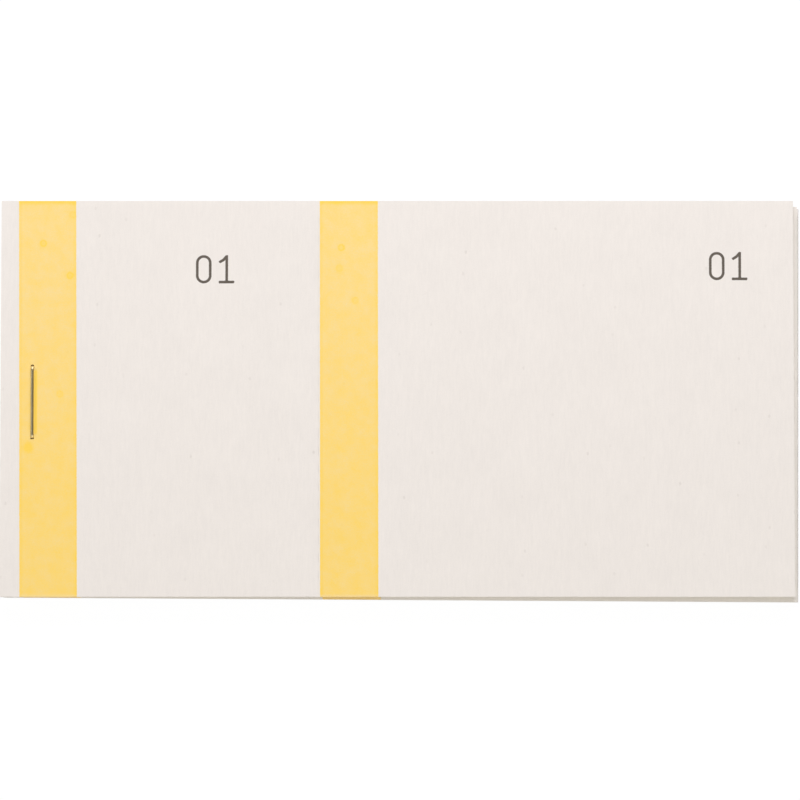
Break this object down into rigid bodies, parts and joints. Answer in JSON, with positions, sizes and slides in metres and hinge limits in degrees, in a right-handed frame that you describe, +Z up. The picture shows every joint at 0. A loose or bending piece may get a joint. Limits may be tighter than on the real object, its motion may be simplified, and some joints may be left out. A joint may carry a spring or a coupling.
{
  "type": "sales ticket pad",
  "caption": "Flat oblong pad of thin perforated paper tickets with printed bands, bound near one end by a wire staple over a backing board; leaves turn up and tickets tear off.",
  "frame": {"origin": "on the backing board's underside, below the middle of the top leaf", "axes": "+X from the stapled end to the free end of the leaves, +Y across the pad, +Z up out of the top leaf's printed face"},
  "size_m": [0.1313, 0.0658, 0.0065],
  "materials": {
    "paper": "uncoated, matt",
    "board": "off-white, matt",
    "wire": "zinc-coated, satin"
  },
  "bodies": {
    "pad": {"backing_board": "board", "staple": "wire", "bound_margins": "paper", "leaf_07": "paper", "leaf_08": "paper", "leaf_09": "paper", "leaf_10": "paper", "leaf_11": "paper", "leaf_12": "paper", "leaf_13": "paper", "leaf_14": "paper", "leaf_15": "paper", "leaf_16": "paper", "leaf_17": "paper", "leaf_18": "paper", "leaf_19": "paper", "leaf_20": "paper", "leaf_21": "paper", "leaf_22": "paper", "leaf_23": "paper", "leaf_24": "paper", "leaf_25": "paper", "leaf_26": "paper", "leaf_27": "paper", "leaf_28": "paper", "leaf_29": "paper", "leaf_30": "paper", "leaf_31": "paper", "leaf_32": "paper", "leaf_33": "paper", "leaf_34": "paper", "leaf_35": "paper", "leaf_36": "paper", "leaf_37": "paper", "leaf_38": "paper", "leaf_39": "paper", "leaf_40": "paper", "leaf_41": "paper", "leaf_42": "paper", "leaf_43": "paper", "leaf_44": "paper", "leaf_45": "paper", "leaf_46": "paper", "leaf_47": "paper", "leaf_48": "paper", "leaf_49": "paper", "leaf_50": "paper"},
    "stub_01": {"stub_01": "paper"},
    "ticket_01": {"ticket_01": "paper"},
    "stub_02": {"stub_02": "paper"},
    "ticket_02": {"ticket_02": "paper"},
    "stub_03": {"stub_03": "paper"},
    "ticket_03": {"ticket_03": "paper"},
    "stub_04": {"stub_04": "paper"},
    "ticket_04": {"ticket_04": "paper"},
    "stub_05": {"stub_05": "paper"},
    "ticket_05": {"ticket_05": "paper"},
    "stub_06": {"stub_06": "paper"},
    "ticket_06": {"ticket_06": "paper"}
  },
  "joints": [
    {"name": "leaf_01_turn", "type": "hinge", "parent": "pad", "child": "stub_01", "pos_m": [-0.0568, 0, 0.006], "axis": [0, -1, 0], "range_deg": [0, 165]},
    {"name": "ticket_01_tear", "type": "slide", "parent": "stub_01", "child": "ticket_01", "axis": [1, 0, 0], "range_m": [0, 0.08]},
    {"name": "leaf_02_turn", "type": "hinge", "parent": "pad", "child": "stub_02", "pos_m": [-0.0568, 0, 0.006], "axis": [0, -1, 0], "range_deg": [0, 165]},
    {"name": "ticket_02_tear", "type": "slide", "parent": "stub_02", "child": "ticket_02", "axis": [1, 0, 0], "range_m": [0, 0.08]},
    {"name": "leaf_03_turn", "type": "hinge", "parent": "pad", "child": "stub_03", "pos_m": [-0.0568, 0, 0.006], "axis": [0, -1, 0], "range_deg": [0, 165]},
    {"name": "ticket_03_tear", "type": "slide", "parent": "stub_03", "child": "ticket_03", "axis": [1, 0, 0], "range_m": [0, 0.08]},
    {"name": "leaf_04_turn", "type": "hinge", "parent": "pad", "child": "stub_04", "pos_m": [-0.0568, 0, 0.006], "axis": [0, -1, 0], "range_deg": [0, 165]},
    {"name": "ticket_04_tear", "type": "slide", "parent": "stub_04", "child": "ticket_04", "axis": [1, 0, 0], "range_m": [0, 0.08]},
    {"name": "leaf_05_turn", "type": "hinge", "parent": "pad", "child": "stub_05", "pos_m": [-0.0568, 0, 0.006], "axis": [0, -1, 0], "range_deg": [0, 165]},
    {"name": "ticket_05_tear", "type": "slide", "parent": "stub_05", "child": "ticket_05", "axis": [1, 0, 0], "range_m": [0, 0.08]},
    {"name": "leaf_06_turn", "type": "hinge", "parent": "pad", "child": "stub_06", "pos_m": [-0.0568, 0, 0.006], "axis": [0, -1, 0], "range_deg": [0, 165]},
    {"name": "ticket_06_tear", "type": "slide", "parent": "stub_06", "child": "ticket_06", "axis": [1, 0, 0], "range_m": [0, 0.08]}
  ],
  "couplings": [
    {"joint": "leaf_02_turn", "follows": "leaf_01_turn", "ratio": 0.86},
    {"joint": "leaf_03_turn", "follows": "leaf_01_turn", "ratio": 0.72},
    {"joint": "leaf_04_turn", "follows": "leaf_01_turn", "ratio": 0.58},
    {"joint": "leaf_05_turn", "follows": "leaf_01_turn", "ratio": 0.44},
    {"joint": "leaf_06_turn", "follows": "leaf_01_turn", "ratio": 0.3}
  ]
}
